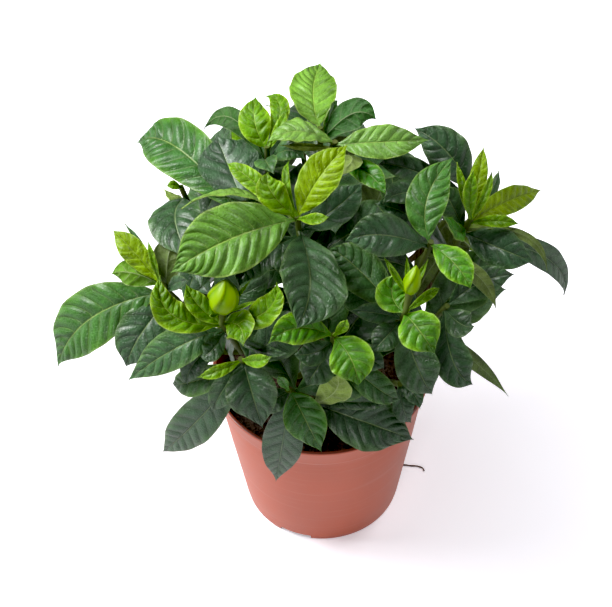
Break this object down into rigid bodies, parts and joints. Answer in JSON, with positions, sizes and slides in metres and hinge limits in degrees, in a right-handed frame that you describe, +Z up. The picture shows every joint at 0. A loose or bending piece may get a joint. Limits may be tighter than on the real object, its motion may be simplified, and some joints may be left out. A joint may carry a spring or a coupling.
{
  "type": "potted gardenia",
  "caption": "Small bushy gardenia with glossy ribbed leaves and closed flower buds, in a terracotta-coloured plastic nursery pot.",
  "frame": {"origin": "bottom centre of the whole plant's bounding box, on the surface that the pot stands on", "axes": "+Z up, +X to the right and -Y towards the viewer, as the picture shows the plant"},
  "size_m": [0.2908, 0.2512, 0.3112],
  "materials": {
    "pot_plastic": "satin",
    "potting_soil": "matte",
    "root": "matte",
    "bark": "matte",
    "mature_leaf": "glossy",
    "young_leaf": "glossy",
    "bud": "satin"
  },
  "bodies": {
    "root": {"back_10_leaves": "mature_leaf", "back_1_leaves": "mature_leaf", "back_2_leaves": "mature_leaf", "back_2_young": "young_leaf", "back_3_leaves": "mature_leaf", "back_4_leaves": "mature_leaf", "back_5_leaves": "mature_leaf", "back_5_young": "young_leaf", "back_6_leaves": "mature_leaf", "back_7_leaves": "mature_leaf", "back_7_young": "young_leaf", "back_8_leaves": "mature_leaf", "back_9_leaves": "mature_leaf", "back_left_leaves": "mature_leaf", "back_left_young": "young_leaf", "back_top_leaves": "mature_leaf", "back_top_young": "young_leaf", "bud_left_leaves": "mature_leaf", "bud_left_young": "young_leaf", "bud_right_leaves": "mature_leaf", "bud_right_young": "young_leaf", "centre_low_leaves": "mature_leaf", "centre_low_young": "young_leaf", "centre_top_leaves": "mature_leaf", "centre_top_young": "young_leaf", "cutting_back": "bark", "cutting_front": "bark", "cutting_left": "bark", "cutting_right": "bark", "flower_bud_left": "bud", "flower_bud_right": "bud", "front_leaves": "mature_leaf", "front_right_leaves": "mature_leaf", "front_young": "young_leaf", "left_leaves": "mature_leaf", "left_middle_leaves": "mature_leaf", "left_middle_young": "young_leaf", "left_top_leaves": "mature_leaf", "left_young": "young_leaf", "low_left_leaves": "mature_leaf", "low_left_young": "young_leaf", "low_right_leaves": "mature_leaf", "pot": "pot_plastic", "right_back_leaves": "mature_leaf", "right_leaves": "mature_leaf", "right_low_leaves": "mature_leaf", "rootlet": "root", "soil": "potting_soil", "spear_leaves": "mature_leaf", "spear_young": "young_leaf", "top_right_leaves": "mature_leaf", "top_right_young": "young_leaf", "under_1_leaves": "mature_leaf", "under_2_leaves": "mature_leaf", "under_3_leaves": "mature_leaf", "under_4_leaves": "mature_leaf", "under_5_leaves": "mature_leaf", "under_6_leaves": "mature_leaf", "under_7_leaves": "mature_leaf"}
  },
  "joints": []
}
